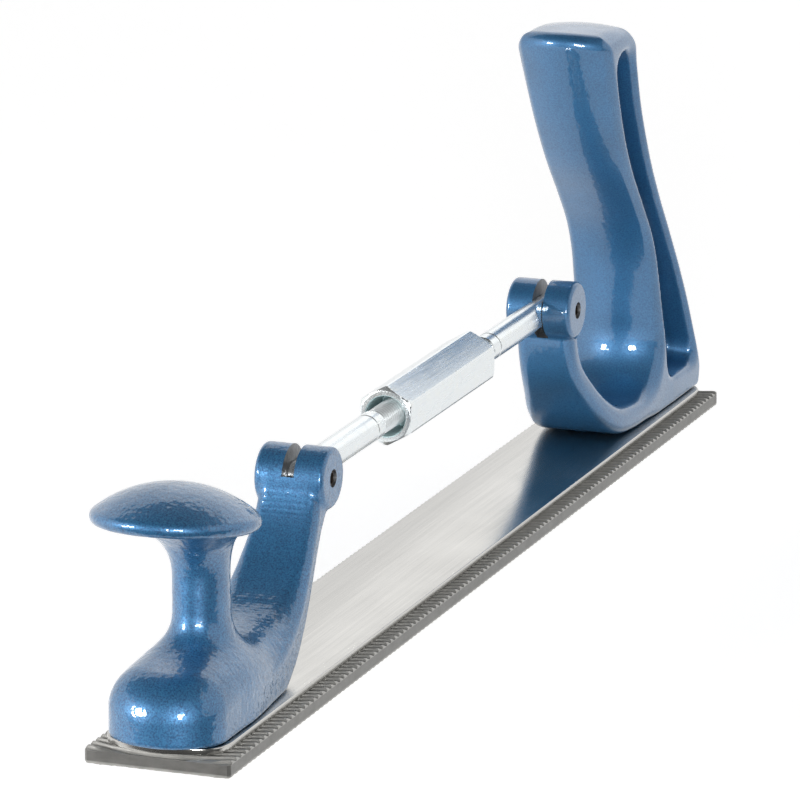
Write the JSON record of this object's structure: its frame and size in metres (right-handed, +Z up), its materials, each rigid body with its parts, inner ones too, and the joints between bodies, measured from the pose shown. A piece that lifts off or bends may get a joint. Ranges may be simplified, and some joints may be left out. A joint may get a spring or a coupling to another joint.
{
  "type": "body file",
  "caption": "Adjustable body file: flexible blade with curved milled teeth under a spring strip, bowed by a turnbuckle between a knob casting and a tall handle.",
  "frame": {"origin": "on the plane of the lower tooth tips, under the middle of the whole length and width", "axes": "+Y along the blade from the knob to the tall handle, +Z up, +X across the blade"},
  "size_m": [0.0384, 0.3596, 0.1146],
  "materials": {
    "blue_paint": "blue hammered enamel on a casting",
    "spring_steel": "bright strip, brushed along its length",
    "file_steel": "hardened steel, milled teeth",
    "zinc_plate": "pale zinc plate",
    "dark_steel": "dark oiled spring pin"
  },
  "bodies": {
    "front": {"front_casting": "blue_paint", "spring_strip": "spring_steel", "file_blade": "file_steel", "front_pivot_pin": "dark_steel", "front_blade_screw": "zinc_plate", "front_strip_rivet": "zinc_plate"},
    "rear": {"rear_casting": "blue_paint", "rear_pivot_pin": "dark_steel", "rear_blade_screw": "zinc_plate", "rear_strip_rivet": "zinc_plate"},
    "front_rod": {"front_rod": "zinc_plate"},
    "rear_rod": {"rear_rod": "zinc_plate"},
    "nut": {"turnbuckle_nut": "zinc_plate"}
  },
  "joints": [
    {"name": "bend", "type": "hinge", "parent": "front", "child": "rear", "pos_m": [0, -0.01017, 0.00525], "axis": [1, 0, 0], "range_deg": [-6, 6], "deforming": ["file_blade", "spring_strip"]},
    {"name": "front_rod_pivot", "type": "hinge", "parent": "front", "child": "front_rod", "pos_m": [0, -0.08537, 0.046], "axis": [1, 0, 0], "range_deg": [-4, 4]},
    {"name": "rear_rod_pivot", "type": "hinge", "parent": "rear", "child": "rear_rod", "pos_m": [0, 0.08933, 0.046], "axis": [1, 0, 0], "range_deg": [-3, 3]},
    {"name": "nut_turn", "type": "hinge", "parent": "front_rod", "child": "nut", "pos_m": [0, 0.00198, 0.046], "axis": [0, 1, 0], "range_deg": [-620, 620]}
  ],
  "couplings": [
    {"joint": "front_rod_pivot", "follows": "bend", "ratio": 0.56955},
    {"joint": "rear_rod_pivot", "follows": "bend", "ratio": -0.43045},
    {"joint": "nut_turn", "follows": "bend", "ratio": 100.8}
  ]
}
